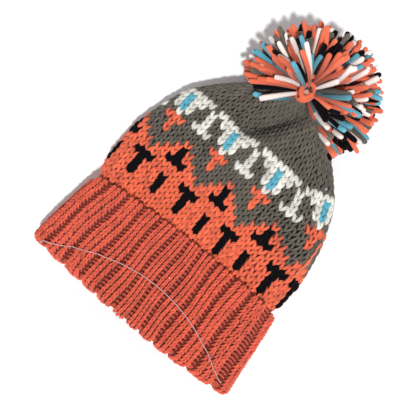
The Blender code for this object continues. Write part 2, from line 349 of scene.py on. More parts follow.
def crown_sizes(y):
    """Half width, back, front and side round of the crown at y."""
    return [eased(y, CROWN_STATIONS[0], values) for values in CROWN_STATIONS[1:]]


def crown_point(share, y, rise):
    """Point on the crown: its outline at y, set out by rise, with the folds pressed in."""
    half_width, back, front, side_round = crown_sizes(y)
    x, z = outline_across(half_width + rise, back - rise, front + rise, side_round + rise, share)
    z = z - fold_drop(x, y) * frontness(share)**FOLD_SIDE_POWER
    return np.stack(np.broadcast_arrays(x, y + Y_SHIFT, z), axis=-1)


def perimeter(y):
    """Length of the crown's outline at y."""
    _, flat, _, _, front_arc, side_arc = arcs_across(*crown_sizes(y))
    return 2 * (front_arc + side_arc + flat)


def furrow_shares():
    """The share of the girth at every furrow: as listed in front, evenly spaced behind."""
    back_ribs = RIB_COUNT + 1 - len(FURROWS)
    back_step = (1 + FURROWS[0] - FURROWS[-1]) / back_ribs
    return np.concatenate([FURROWS, FURROWS[-1] + back_step * np.arange(1, back_ribs + 1)])


FURROW_SHARES = furrow_shares()


def rib_place(share):
    """Which rib a share lies in, as a number whose whole part counts furrows."""
    return np.interp((share - FURROWS[0]) % 1.0 + FURROWS[0], FURROW_SHARES, np.arange(RIB_COUNT + 1))


def rib_share(place):
    """The share of the girth at a place among the ribs, the inverse of rib_place."""
    return np.interp(place, np.arange(RIB_COUNT + 1), FURROW_SHARES)


def furrow_depth(place):
    """How far the skin sinks at a place among the ribs: 1 in a furrow, 0 on a rib's broad top."""
    across = np.abs(centred(place))
    sharp = np.exp(-(across / FURROW_REACH)**2)
    return FURROW_SHARP * sharp + (1 - FURROW_SHARP) * (1 - 2 * across)


def mouth_fold(share):
    """Where the mouth's fold lies along Y: bowed forwards in front, and lower on the right."""
    return MOUTH_BOW * (1 - frontness(share)) - MOUTH_SKEW * np.sin(2 * math.pi * share)


def cuff_point(place, way, rise):
    """Point on the cuff at a place among the ribs and a way along its folded section.

    way runs from 1 at the flap's edge to 0 at the fold and on to -1 at the lining's edge. The
    section is straight, then a half circle round the fold, then straight again.
    """
    upright = rib_share(place)
    lean = np.interp(centred(upright), LEAN_SHARE, LEAN) * (1 - np.clip(way, 0, 1))**LEAN_POWER
    share = upright + lean + RIB_WOBBLE * np.sin(WOBBLE_ALONG * way + WOBBLE_ROUND * upright)
    fold_radius = (CUFF_FLAP + CUFF_SLOT + CUFF_LINING) / 2
    fold_middle = CUFF_FLAP - fold_radius
    fold_y = mouth_fold(share) + fold_radius
    corner = np.exp(-((np.abs(centred(share)) - CORNER_SHARE) / CORNER_REACH)**2)
    top_y = CUFF_HEIGHT - CUFF_TOP_BOW * (1 - frontness(share)) - FLAP_CORNER * corner
    depth = furrow_depth(place) * RIB_DEPTH
    reach = fold_radius + rise - depth
    turn = np.pi / 2 * np.clip(way / FOLD_WAY, -1, 1)
    straight = np.clip((np.abs(way) - FOLD_WAY) / (1 - FOLD_WAY), 0, 1)
    end_y = np.where(way > 0, top_y, LINING_HEIGHT)
    y = fold_y - reach * np.cos(turn) + straight * (end_y - fold_y)
    offset = fold_middle + reach * np.sin(turn)
    inset = CUFF_FLAP - offset
    along = y / CUFF_HEIGHT
    half_width, front = cuff_size(along)
    x, z = outline_across(half_width - inset, inset, front - inset, CUFF_SIDE_ROUND - inset, share)
    drawn = np.where(way > 0, np.clip((along - DRAWN_FROM) / DRAWN_OVER, 0, 1)**1.5, 0)
    x = x + FLAP_DRAWN_IN * drawn * np.clip(-x / half_width, 0, 1)**2
    return np.stack(np.broadcast_arrays(x, y + Y_SHIFT, z), axis=-1)


def mesh_piece(name, points, faces, uv=None, shade=None, colour=None, smooth=True):
    """A mesh object at the origin from whole arrays; faces is a list of index arrays."""
    mesh = bpy.data.meshes.new(name)
    corners = np.concatenate([group.ravel() for group in faces])
    totals = np.concatenate([np.full(len(group), group.shape[1]) for group in faces])
    starts = np.concatenate([[0], np.cumsum(totals)[:-1]])
    mesh.vertices.add(len(points))
    mesh.vertices.foreach_set("co", np.ascontiguousarray(points, dtype=np.float32).ravel())
    mesh.loops.add(len(corners))
    mesh.loops.foreach_set("vertex_index", corners.astype(np.int32))
    mesh.polygons.add(len(totals))
    mesh.polygons.foreach_set("loop_start", starts.astype(np.int32))
    mesh.polygons.foreach_set("loop_total", totals.astype(np.int32))
    mesh.update(calc_edges=True)
    if uv is not None:
        layer = mesh.uv_layers.new(name="yarn")
        layer.data.foreach_set("uv", uv[corners].astype(np.float32).ravel())
    if shade is not None:
        mesh.attributes.new("shade", "FLOAT", "POINT").data.foreach_set("value", shade.astype(np.float32))
    if colour is not None:
        data = np.concatenate([colour, np.ones((len(colour), 1))], axis=1)
        mesh.attributes.new("dye_and_painted_shade", "FLOAT_COLOR", "POINT").data.foreach_set(
            "color", data.astype(np.float32).ravel())
    mesh.polygons.foreach_set("use_smooth", np.full(len(totals), smooth))
    mesh.validate()
    piece = bpy.data.objects.new(name, mesh)
    bpy.context.scene.collection.objects.link(piece)
    return piece


def grid_faces(rows, columns, wrap):
    """Quads of a grid of rows by columns, whose columns close into a ring if wrap."""
    i, j = np.meshgrid(np.arange(rows - 1), np.arange(columns if wrap else columns - 1), indexing="ij")
    k = (j + 1) % columns
    return np.stack([i * columns + j, i * columns + k, (i + 1) * columns + k, (i + 1) * columns + j],
                    axis=-1).reshape(-1, 4)


def yarn_tubes(paths, up, width, thick, sides):
    """Points, faces, UVs and strand numbers of yarns carried along paths as flat-oval tubes.

    At each point of a path, with T its direction, B = T x up and N = B x T, the ring is
    path + width cos(a) B + thick sin(a) N. UV runs in millimetres along and once around.
    """
    strands, length = paths.shape[:2]
    tangent = np.gradient(paths, axis=1)
    tangent /= np.linalg.norm(tangent, axis=2, keepdims=True)
    beside = np.cross(tangent, up)
    beside /= np.linalg.norm(beside, axis=2, keepdims=True) + 1e-12
    normal = np.cross(beside, tangent)
    angle = 2 * math.pi * np.arange(sides) / sides
    ring = (beside[:, :, None] * np.cos(angle)[:, None] * width[:, :, None, None]
            + normal[:, :, None] * np.sin(angle)[:, None] * thick[:, :, None, None])
    points = (paths[:, :, None] + ring).reshape(-1, 3)
    points[:, 2] = np.maximum(points[:, 2], TABLE_TOUCH)
    one = grid_faces(length, sides, True)
    offset = np.arange(strands)[:, None, None] * (length * sides)
    quads = (one[None] + offset).reshape(-1, 4)
    caps = np.stack([np.arange(sides)[::-1], (length - 1) * sides + np.arange(sides)])
    caps = (caps[None] + offset).reshape(-1, sides)
    steps = np.linalg.norm(np.diff(paths, axis=1), axis=2)
    run = np.concatenate([np.zeros((strands, 1)), np.cumsum(steps, axis=1)], axis=1) / MM
    # each yarn starts further along the twist than the last, so that no two look alike
    twist_shift = 7.3
    run = run + np.arange(strands)[:, None] * twist_shift
    uv = np.stack(np.broadcast_arrays(run[:, :, None], np.arange(sides) / sides), axis=-1).reshape(-1, 2)
    number = np.repeat(np.arange(strands), length * sides)
    return points, [quads[:, ::-1], caps[:, ::-1]], uv, number


def set_inputs(tree, node, inputs):
    """Sets a node's inputs, each to a value or to another node's output."""
    for key, value in inputs.items():
        if isinstance(value, bpy.types.NodeSocket):
            tree.links.new(value, node.inputs[key])
        else:
            node.inputs[key].default_value = value


def add_node(tree, kind, inputs, **settings):
    """The outputs of a new shader node with these inputs and settings."""
    node = tree.nodes.new("ShaderNode" + kind)
    for key, value in settings.items():
        setattr(node, key, value)
    set_inputs(tree, node, inputs)
    return node.outputs


def new_material(name):
    """A material and its node tree."""
    material = bpy.data.materials.new(name)
    material.use_nodes = True
    return material, material.node_tree


def spun_acrylic(name, code, twist_mm=3.4, per_point_colour=False, depth=0.35):
    """Bulky two-ply acrylic yarn, spun and brushed: matt, with slanting plies and a soft halo.

    The colour's tone is the piece's shade attribute (each yarn's random tone and the painted shade
    along it), plus a share of the plies' painted shade and of the fibres' and the dyeing's
    unevenness, about 1 in all.
    """
    ply_relief = 0.6
    ply_painted_shade = 0.13
    fibre_tone = 0.30
    dye_tone = 0.20
    lit_tone = 0.95
    # half of the fibres' and of the uneven dyeing's tone, so that the mean stays as the yarn's colour
    mean_tone = 0.25
    material, tree = new_material(name)

    def maths(operation, *terms):
        """The result of an operation on numbers and other results."""
        return add_node(tree, "Math", dict(enumerate(terms)), operation=operation)["Value"]

    place = add_node(tree, "TexCoord", {})
    # plies wind once round the yarn in twist_mm: fine slanting stripes of relief and painted shade
    turned = add_node(tree, "Mapping", {"Scale": (1 / twist_mm, 1.0, 1.0), "Vector": place["UV"]})
    split = add_node(tree, "SeparateXYZ", {"Vector": turned["Vector"]})
    plies = maths("SINE", maths("MULTIPLY", maths("ADD", split["X"], split["Y"]), 4 * math.pi))
    # loose fibres, about a third of a millimetre, roughen the yarn
    fibres = add_node(tree, "TexNoise", {
        "Scale": 2600.0, "Detail": 3.0, "Roughness": 0.7, "Vector": place["Object"]})["Fac"]
    # the colour takes a little unevenly in the dyeing, over some 15 mm
    uneven = add_node(tree, "TexNoise", {
        "Scale": 70.0, "Detail": 2.0, "Vector": place["Object"]})["Fac"]
    relief = maths("MULTIPLY_ADD", plies, ply_relief, fibres)
    bump = add_node(tree, "Bump", {"Strength": 0.8, "Distance": depth * MM, "Height": relief})
    # the per-point colour is the floats' colours, darkened by painted shade
    if per_point_colour:
        base = add_node(tree, "Attribute", {}, attribute_name="dye_and_painted_shade")["Color"]
    else:
        base = add_node(tree, "RGB", {})[0]
        base.default_value = (*to_linear(code), 1.0)
    tone = maths("MULTIPLY_ADD", plies, ply_painted_shade, lit_tone)
    tone = maths("MULTIPLY_ADD", fibres, fibre_tone, tone)
    tone = maths("MULTIPLY_ADD", uneven, dye_tone, tone)
    shade = add_node(tree, "Attribute", {}, attribute_name="shade")["Fac"]
    tone = maths("SUBTRACT", maths("ADD", tone, shade), mean_tone)
    tinted = add_node(tree, "VectorMath", {0: base, "Scale": tone}, operation="SCALE")
    # the halo of loose fibres hardly shows on black
    black = code == BLACK
    set_inputs(tree, tree.nodes["Principled BSDF"], {
        "Base Color": tinted["Vector"], "Normal": bump["Normal"], "Roughness": 0.88,
        "Sheen Weight": 0.04 if black else 0.22, "Sheen Roughness": 0.5,
        "Specular IOR Level": 0.08 if black else 0.25})
    return material


def finish_piece(piece, slot, material, *replaced):
    """Gives a piece its material and body, and hides the solids that it stands for."""
    piece.data.materials.append(material)
    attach(piece, "root")
    if replaced:
        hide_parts(*replaced)


def yarn_piece(name, paths, up, width, slot, material, painted_shade=0.0, spread=0.06, flat=1.0,
               sides=YARN_SIDES, replaced=()):
    """One mesh of many yarns, flat times as thick as wide.

    Each differs a little in tone at random, by spread, and dim is the painted shade along its
    length. up, width and dim may each be the same for all yarns or all their length.
    """
    up = np.broadcast_to(up, paths.shape)
    width = np.broadcast_to(width, paths.shape[:2])
    points, faces, uv, number = yarn_tubes(paths, up, width, width * flat, sides)
    tone = np.broadcast_to(painted_shade, paths.shape[:2]).repeat(sides, axis=1).ravel()
    shade = DICE.normal(0.0, spread, len(paths))[number] + tone
    finish_piece(mesh_piece(name, points, faces, uv, shade), slot, material, *replaced)


def dive_painted_shade(deep):
    """Painted shade along a leg: none in its middle, darker by deep |2t - 1|^2.5 towards its ends."""
    # the ends are where a leg dives between its neighbours, into their shade
    return -deep * np.abs(np.linspace(-1, 1, len(LEG_SWELL)))**2.5


def stretched(share):
    """Where an even share of the girth really lies, by the stretch of the knit."""
    return np.interp(centred(share), STRETCH_EVEN, STRETCH_REAL)


def spread_at(y):
    """How much wider a wale's share of the girth is at y than low down, to keep its width."""
    return np.clip(perimeter(FULL_GIRTH_Y) / perimeter(y), 1.0, WIDEST_SPREAD)


def wale_share(placed, y):
    """Share at y of a wale that low down lies at placed: straight in front, crowded behind."""
    spread = spread_at(y)
    edge = STRAIGHT_SHARE * spread
    behind = edge + (np.abs(placed) - STRAIGHT_SHARE) * (0.5 - edge) / (0.5 - STRAIGHT_SHARE)
    return np.where(np.abs(placed) < STRAIGHT_SHARE, placed * spread, np.sign(placed) * behind)


def low_share(share, y):
    """The inverse of wale_share: where the wale at (share, y) lies low down."""
    spread = spread_at(y)
    edge = STRAIGHT_SHARE * spread
    behind = STRAIGHT_SHARE + (np.abs(share) - edge) * (0.5 - STRAIGHT_SHARE) / (0.5 - edge)
    return np.where(np.abs(share) < edge, share / spread, np.sign(share) * behind)


def rows_at(share):
    """Height of row 0 at a centred share, and the rows' pitch there."""
    return np.interp(share, ROW_SHARE, ROW_START), np.interp(share, ROW_SHARE, ROW_PITCH)


def row_height(row, share):
    """Height along the hat of a row at a share: evenly pitched at first, then up to the tip."""
    start, pitch = rows_at(centred(share))
    at_turn = start + EVEN_ROWS * pitch
    upper_pitch = (HAT_LENGTH - TIP_MARGIN - at_turn) / (LAST_ROW + 1 - EVEN_ROWS)
    return np.where(row < EVEN_ROWS, start + row * pitch, at_turn + (row - EVEN_ROWS) * upper_pitch)


def chart_letters():
    """The yarn letter of each stitch as an array of rows by columns, bottom row first."""
    rows = LAST_ROW - FIRST_ROW + 1
    letters = np.full((rows, STITCHES_ROUND), "g")
    repeat = np.array([list(line) for line in CHART[::-1]])
    # the column beside the seam is the second of a T's three
    beside_seam = 2
    column = (np.arange(STITCHES_ROUND) + beside_seam) % repeat.shape[1]
    letters[:-FIRST_ROW] = "o"
    letters[-FIRST_ROW:-FIRST_ROW + len(repeat)] = repeat[:, column]
    return letters


def leg_places(place, row, pitch, side, flip=1.0, spread=0.41):
    """Places of stitch legs: each rises from a V's foot, swells outwards and dives at its head.

    With t from 0 to 1, across = side (foot + spread t) stitches, up = tall t - sunk rows and
    rise = crest - dive |2t - 1|^3.2, each a little off at random.
    """
    foot = 0.04
    tall = 1.5
    sunk = 0.6
    crest = -1.6 * MM
    dive = 2.6 * MM
    off = 0.025
    off_rise = 12 * MM
    t = np.linspace(0, 1, len(LEG_SWELL))
    jitter = DICE.normal(0, off, (len(row), 3))
    across = side[:, None] * (foot + spread * t) + jitter[:, :1]
    up = (tall * t - sunk) * flip + jitter[:, 1:2]
    rise = crest + jitter[:, 2:3] * off_rise - dive * np.abs(2 * t - 1)**3.2
    return place[:, None] + across * pitch[:, None], row[:, None] + up, rise


def laid_on(point_at, places, step=OUTWARD_STEP):
    """Paths over a skin, and the directions that a step over it takes."""
    place, row, rise = places
    up = point_at(place, row, step + 0 * rise) - point_at(place, row, 0 * rise)
    return point_at(place, row, rise), up / np.linalg.norm(up, axis=2, keepdims=True)


def taper(length, radius, low=0.62):
    """Radii along a path: low of the radius at the ends and all of it between, by a sine^0.6."""
    t = np.linspace(0, 1, length)
    return radius * (low + (1 - low) * np.sin(math.pi * t)**0.6)


def pulled(share, y):
    """How far the knit is pulled aside at (share, y), as a share of the girth: a sum of bells."""
    push = sum(far * np.exp(-((share - at) / reach)**2 - ((y - along) / run)**2)
               for at, along, reach, run, far in PULLS)
    return push / perimeter(FULL_GIRTH_Y)


def on_crown(share, row, rise):
    """Place on the crown of a point given by its even share of the girth and its row."""
    placed = stretched(share)
    y = row_height(row, placed)
    return crown_point(wale_share(placed, y) + pulled(placed, y), y, rise)


def top_share(reach, y):
    """Share at y of a straight wale over the chart: the outer ones lean in towards the tip."""
    girth = perimeter(row_height(TOP_ROW, 0.0))
    left = np.minimum(perimeter(y) / girth, 1.0)
    share = reach / girth
    power = DRAWING_IN + (SIDE_DRAWING_IN - DRAWING_IN) * np.minimum(np.abs(share) / 0.25, 1)**2
    return share * left**(power - 1)


def on_top(reach, row, rise):
    """Place near the tip of a point on a straight wale, at its reach from the front's middle."""
    y = row_height(row, reach / perimeter(FULL_GIRTH_Y))
    return crown_point(top_share(reach, y), y, rise)


def behind_top(share, row, rise):
    """Place near the tip of a point given by its real share of the girth and its row."""
    return crown_point(share, row_height(row, share), rise)


def top_stitches():
    """Stitches over the chart: straight wales in front, and as many behind as there is room for."""
    straight_share = 0.27
    girth = perimeter(FULL_GIRTH_Y)
    wales = stretched(SEAM_SHARE + (np.arange(STITCHES_ROUND) + 0.5) / STITCHES_ROUND) * girth
    front, behind = [], []
    pitch = girth / STITCHES_ROUND
    for row in range(TOP_ROW, LAST_ROW + 1):
        y = row_height(row, 0.0)
        share = top_share(wales, y)
        kept = np.abs(share) < straight_share
        front.append(np.stack(np.broadcast_arrays(wales[kept], row, pitch)))
        span = share[kept].max() - share[kept].min()
        gap = 1 - span
        steps = max(2, round(gap / (span / (kept.sum() - 1))))
        place = share[kept].max() + gap * np.arange(1, steps) / steps
        behind.append(np.stack(np.broadcast_arrays(place, row, gap / steps)))
    return np.concatenate(front, axis=1), np.concatenate(behind, axis=1)


def leg_piece(name, stitches, point_at, letter):
    """One piece of the crown's stitches, two legs to each, in the yarn of a letter."""
    place, row, pitch = (np.repeat(values, 2) for values in stitches)
    side = np.tile([-1.0, 1.0], stitches.shape[1])
    paths, up = laid_on(point_at, leg_places(place, row, pitch, side))
    _, code, radius, _ = CROWN_YARNS[letter]
    yarn_piece("crown_" + name + "_knit", paths, up, radius * LEG_SWELL, "pattern_knit",
               spun_acrylic(name + "_knit_yarn", code), painted_shade=dive_painted_shade(0.47), spread=0.10, flat=0.9)


def knit_crown():
    """Every stitch of the crown, by yarn: the charted rows, then the plain grey rows to the tip."""
    letters = chart_letters()[:TOP_ROW - FIRST_ROW]
    row, column = np.meshgrid(np.arange(FIRST_ROW, TOP_ROW), np.arange(STITCHES_ROUND), indexing="ij")
    for letter, (name, *_) in CROWN_YARNS.items():
        chosen = letters == letter
        share = SEAM_SHARE + (column[chosen] + 0.5) / STITCHES_ROUND
        stitches = np.stack(np.broadcast_arrays(share, row[chosen], 1 / STITCHES_ROUND))
        leg_piece(name, stitches, on_crown, letter)
    front, behind = top_stitches()
    leg_piece("top_front", front, on_top, "g")
    leg_piece("top_back", behind, behind_top, "g")


def seam_yarn():
    """The slack orange yarn that climbs aslant beside the seam, between two motifs."""
    start_y = 134 * MM
    end_y = 174 * MM
    aslant = 0.016
    over_stitches = 0.4 * MM
    wave = 0.3 * MM
    radius = 1.15 * MM
    t = np.linspace(0, 1, 24)[None]
    rise = over_stitches + wave * np.sin(9 * math.pi * t)
    paths, up = laid_on(crown_point, (SEAM_SHARE + aslant * t, start_y + (end_y - start_y) * t, rise))
    yarn_piece("crown_seam_yarn", paths, up, radius, "pattern_knit",
               spun_acrylic("slack_orange_yarn", SLACK_ORANGE))


def crown_backing():
    """The crown's wall behind the stitches: an outer skin, a lip at each end and an inner skin."""
    columns = 4 * STITCHES_ROUND
    rows = 74
    sunk = 3.9 * MM
    rim_gap = 0.6 * MM
    tip_gap = 0.5 * MM
    # the hollow ends where the knit is gathered
    gathered = 30 * MM
    hollow_rows = int(rows * 0.85)
    share = np.arange(columns) / columns
    y = np.linspace(LINING_HEIGHT + rim_gap, HAT_LENGTH - tip_gap, rows)[:, None]
    outer = crown_point(share[None], y, -sunk)
    inner = crown_point(share[None], np.minimum(y, HAT_LENGTH - gathered), -KNIT_WALL)[:hollow_rows]
    points = np.concatenate([inner[::-1].reshape(-1, 3), outer.reshape(-1, 3)])
    total = len(points) // columns
    caps = np.stack([np.arange(columns), (total - 1) * columns + np.arange(columns)[::-1]])
    letters = chart_letters()
    front_share = centred(share[None])
    placed = low_share(front_share, y)
    # the pull depends on the place it is worked out for, so a few rounds settle it
    for _ in range(5):
        placed = low_share(front_share - pulled(placed, y), y)
    start, pitch = rows_at(placed)
    row = np.clip(np.floor((y - start) / pitch).astype(int) - FIRST_ROW, 0, LAST_ROW - FIRST_ROW)
    even = np.interp(placed, STRETCH_REAL, STRETCH_EVEN)
    column = np.floor(((even - SEAM_SHARE) % 1.0) * STITCHES_ROUND).astype(int) % STITCHES_ROUND
    yarn = letters[row, column]
    # the floats' colours, each darkened by its painted shade for the gaps between the stitches
    dye_and_painted_shade = np.zeros((*yarn.shape, 3))
    for letter, (_, code, _, painted_float_shade) in CROWN_YARNS.items():
        dye_and_painted_shade[yarn == letter] = to_linear(code) * painted_float_shade
    colour = np.concatenate([dye_and_painted_shade[:len(inner)][::-1].reshape(-1, 3), dye_and_painted_shade.reshape(-1, 3)])
    faces = [grid_faces(total, columns, True)[:, ::-1], caps[:, ::-1]]
    piece = mesh_piece("crown_wall", points, faces, uv=np.zeros((len(points), 2)),
                       shade=np.zeros(len(points)), colour=colour)
    finish_piece(piece, "pattern_knit",
                 spun_acrylic("floats_behind_the_knit_in_painted_shade", ORANGE, per_point_colour=True), "crown")


def cuff_backing():
    """The cuff's wall: the flap, the fold and the lining in one section, sunk below the stitches.

    Its section runs outside from the flap's edge round the fold to the lining's edge, and back
    through the slot between the two.
    """
    columns_per_rib = 14
    sunk = 2.4 * MM
    # the straight parts start just past the fold's ends
    past_fold = FOLD_WAY + 0.02
    places = np.arange(RIB_COUNT * columns_per_rib) / columns_per_rib
    ways = np.concatenate([np.linspace(1.0, past_fold, 26), np.linspace(FOLD_WAY, -FOLD_WAY, 13),
                           np.linspace(-past_fold, -1.0, 20)])
    outer = cuff_point(places[None], ways[:, None], -sunk)
    slot_ways = np.concatenate([np.linspace(-1.0, -past_fold, 16), np.linspace(past_fold, 1.0, 16)])
    slot_rise = np.where(slot_ways < 0, -CUFF_LINING, -CUFF_FLAP)[:, None]
    inner = cuff_point(places[None], slot_ways[:, None], slot_rise + furrow_depth(places) * RIB_DEPTH)
    points = np.concatenate([outer.reshape(-1, 3), inner.reshape(-1, 3)])
    rows = len(ways) + len(slot_ways)
    quads = grid_faces(rows, len(places), True)
    last = np.arange(len(places))
    following = (last + 1) % len(places)
    top = (rows - 1) * len(places)
    closing = np.stack([top + last, top + following, following, last], axis=-1)
    piece = mesh_piece("cuff_wall", points, [quads, closing], uv=np.zeros((len(points), 2)),
                       shade=np.zeros(len(points)))
    # the wall is darkened by painted shade, so that the furrows and the gaps between stitches read dark
    finish_piece(piece, "rib_knit", spun_acrylic("rib_base_in_painted_shade", RIB_BASE_IN_PAINTED_SHADE), "cuff")


def knit_cuff():
    """The flap's stitches: three wales of inverted Vs on each rib and purl bars in the furrows."""
    all_rows = np.arange(FIRST_CUFF_ROW, CUFF_ROWS)
    row, rib, wale = (grid.ravel() for grid in np.meshgrid(
        all_rows, np.arange(RIB_COUNT), WALES, indexing="ij"))
    # the wales beside the open furrow are pushed off it, and those further away less and less
    pushed = 0.10
    at_once = 0.15
    fading = 0.6
    beside = rib + wale - OPEN_FURROW
    place = rib + wale + pushed * np.tanh(beside / at_once) * np.exp(-(beside / fading)**2)
    on_front = np.abs(centred(rib_share(place))) < 0.25
    shallow = 0.7
    raised = 0.5 * MM
    thinnest = 0.8 * MM
    thickest = 1.25 * MM
    # a yarn's radius as a share of its wale's width
    fullness = 0.23

    def on_cuff(place, row, rise):
        """Place on the cuff of a point given among the ribs and by its row."""
        return cuff_point(place, row / CUFF_ROWS, rise)

    for name, chosen in (("cuff_front_ribs", on_front), ("cuff_back_ribs", ~on_front)):
        # an upside-down V hangs from the row above it
        rows = np.repeat(row[chosen].astype(float), 2) + 0.9
        places = np.repeat(place[chosen], 2)
        side = np.tile([-1.0, 1.0], chosen.sum())
        pitch = np.full(len(rows), WALE_PITCH)
        along, height, rise = leg_places(places, rows, pitch, side, flip=-1.0, spread=0.26)
        # these stitches are finer than the crown's, so they lie closer and dive less
        paths, up = laid_on(on_cuff, (along, height, shallow * rise + raised))
        girth = perimeter(FULL_GIRTH_Y)
        rib_width = (rib_share(np.floor(places) + 1) - rib_share(np.floor(places))) * girth
        width = LEG_SWELL * np.clip(WALE_PITCH * fullness * rib_width, thinnest, thickest)[:, None]
        yarn_piece(name, paths, up, width, "rib_knit",
                   spun_acrylic("salmon_" + name + "_yarn", SALMON, twist_mm=2.4, depth=0.25),
                   painted_shade=dive_painted_shade(0.40), spread=0.09)

    # each purl bar bows once across its furrow, and its ends sink under the wales
    row, rib = (grid.ravel() for grid in np.meshgrid(all_rows, np.arange(RIB_COUNT), indexing="ij"))
    t = np.linspace(-1, 1, 6)
    open_reach = 0.17
    plain_reach = 0.09
    place = rib[:, None] + np.where(rib == OPEN_FURROW, open_reach, plain_reach)[:, None] * t
    bow = 0.18 * np.cos(math.pi * t)
    uneven = DICE.normal(0, 0.05, len(row))[:, None]
    height = row[:, None] + 0.5 + bow + uneven
    crest = -1.0 * MM
    dive = 0.9 * MM
    radius = 1.2 * MM
    over_bar = 4 * MM
    paths, up = laid_on(on_cuff, (place, height, crest - dive * t**2 + 0 * height), over_bar)
    # the bars are darker by painted shade, as they lie down in the furrows
    yarn_piece("cuff_furrow_bars", paths, up, taper(len(t), radius), "rib_knit",
               spun_acrylic("salmon_purl_yarn_in_painted_shade", PURL_IN_PAINTED_SHADE, twist_mm=2.4, depth=0.25))


def bobble_directions(count):
    """Directions spread over a ball by the golden angle, each nudged a little at random."""
    i = np.arange(count) + 0.5
    polar = np.arccos(1 - 2 * i / count)
    turn = math.pi * (1 + 5**0.5) * i
    spread = np.stack([np.sin(polar) * np.cos(turn), np.sin(polar) * np.sin(turn), np.cos(polar)], axis=1)
    nudge = 0.06
    spread += DICE.normal(0, nudge, spread.shape)
    return spread / np.linalg.norm(spread, axis=1, keepdims=True)


# Strands that stand out in the bobble: yarn, where each ends in millimetres on the hat, how
# thick its cut end is, and how far its middle bows up over the others or sinks between them.
LOOSE_STRANDS = (
    # yarn, end_x, end_y, end_z, radius, bow
    ("b", -17.7, 294.7, 88, 2.9, 7), ("b", -9.0, 297.0, 93, 2.4, 6), ("k", -23.4, 278.9, 84, 3.0, 7),
    ("k", -35.6, 298.0, 88, 2.8, -3), ("b", -33.0, 301.0, 87, 2.3, -4), ("k", 33.0, 258.5, 73, 3.5, 6),
    ("k", 32.0, 262.0, 72, 3.1, 6), ("w", -30.4, 241.5, 55, 3.0, 4), ("b", -37.4, 242.5, 53, 2.8, -6),
    ("o", -48.0, 247.0, 60, 2.5, 2), ("o", -43.2, 252.3, 64, 2.7, 3), ("o", -56.0, 250.4, 58, 2.6, 2),
    ("k", -42.0, 246.6, 56, 2.6, 3), ("w", -31.2, 260.0, 75, 2.6, 5), ("g", -47.4, 283.0, 78, 2.8, -2),
    ("w", -50.0, 266.0, 68, 3.0, -5), ("b", -56.5, 264.5, 62, 3.0, -5), ("g", -40.6, 270.7, 74, 3.0, -8),
    ("g", -53.5, 257.7, 60, 3.0, -5), ("o", 24.4, 295.0, 96, 3.1, 4), ("w", 17.6, 287.3, 94, 2.8, 4),
    ("w", 22.0, 313.0, 108, 2.7, -4), ("w", 32.3, 308.3, 104, 2.6, -4), ("g", 24.5, 281.0, 90, 2.6, 1),
    ("k", 47.0, 296.0, 88, 2.5, -7), ("b", 55.0, 311.0, 80, 2.9, -5), ("g", 50.0, 304.0, 88, 2.7, -5),
    ("w", 34.0, 287.0, 97, 2.5, -7), ("w", 49.0, 294.0, 88, 2.6, -7), ("w", 49.0, 285.0, 88, 2.6, -7),
    ("b", 51.4, 277.6, 85, 3.2, -7), ("b", 54.0, 266.7, 78, 2.8, -5), ("b", 51.5, 262.6, 72, 2.8, -5),
    ("k", 43.0, 266.0, 84, 3.0, -7), ("k", 36.0, 268.0, 84, 2.6, -7), ("k", 63.0, 287.0, 68, 2.8, -5),
    ("w", 38.5, 258.0, 62, 2.8, -8), ("w", 54.0, 259.5, 62, 2.8, -8), ("w", 48.7, 249.5, 52, 2.8, -8),
    ("g", 46.5, 256.0, 57, 3.0, -8), ("k", 64.5, 258.0, 50, 3.2, -8), ("k", 58.0, 262.0, 58, 2.8, -8),
    ("o", 60.0, 241.0, 33, 2.6, -8), ("o", 56.0, 249.5, 42, 2.6, -8), ("o", 50.0, 251.0, 47, 2.6, -8),
    ("k", 60.5, 243.5, 38, 2.2, -8), ("o", 61.0, 248.0, 40, 2.6, -8), ("o", 43.0, 255.0, 52, 2.6, -8),
    ("w", 7.2, 328.7, 93, 2.8, 0), ("w", -26.0, 322.0, 84, 2.9, 0), ("k", -12.5, 330.0, 84, 2.6, 0),
    ("k", -1.0, 312.5, 102, 3.2, -3), ("k", -12.4, 305.0, 98, 3.2, -3), ("g", -28.6, 303.0, 88, 2.8, -8),
    ("g", -31.0, 298.0, 86, 2.8, -8), ("g", -26.0, 307.0, 88, 2.8, -8), ("k", 21.0, 324.0, 92, 2.6, 0),
    ("b", -5.5, 321.7, 94, 2.9, 0), ("b", 16.4, 314.0, 105, 2.6, -3), ("o", 8.0, 309.0, 106, 2.8, 1),
    ("o", 3.0, 304.0, 106, 2.8, 1), ("o", -4.0, 300.0, 100, 2.8, 1), ("o", 34.0, 275.0, 86, 2.7, 2),
    ("o", 38.0, 281.0, 92, 2.7, 2), ("o", 40.0, 271.0, 82, 2.7, 2), ("o", -38.0, 290.0, 82, 2.6, 1),
    ("o", -44.0, 274.0, 76, 2.6, 1), ("o", -36.0, 256.0, 68, 2.6, 2), ("o", 27.0, 267.5, 80, 2.7, 3),
    ("g", -58.0, 306.0, 66, 2.6, 0), ("w", -48.0, 300.0, 78, 2.6, -3), ("k", -51.0, 291.0, 72, 2.6, -3),
)
# Along a strand, from the bobble's heart to its cut end: the places where it is worked out, its
# swell (thin where tied, full near the end, worn at the cut), and its tone, which is painted
# shade, darkest towards the heart, where the strands crowd together, with a little painted light
# at the cut end.
STRAND_STATIONS = np.array([0.10, 0.25, 0.40, 0.55, 0.70, 0.82, 0.92, 0.975, 1.0])
STRAND_SWELL = np.array([0.55, 0.65, 0.76, 0.86, 0.95, 1.0, 1.03, 0.97, 0.62])
STRAND_PAINTED_SHADE = np.array([-0.62, -0.56, -0.46, -0.34, -0.20, -0.08, 0.0, 0.04, 0.06])
# the bobble's yarns: name, colour and share of the strands
BOBBLE_YARNS = {"o": ("coral", CORAL, 0.55), "g": ("grey", GREY, 0.12),
                "w": ("white", PALE_PINK, 0.12), "b": ("blue", BLUE, 0.10),
                "k": ("black", BLACK, 0.11)}
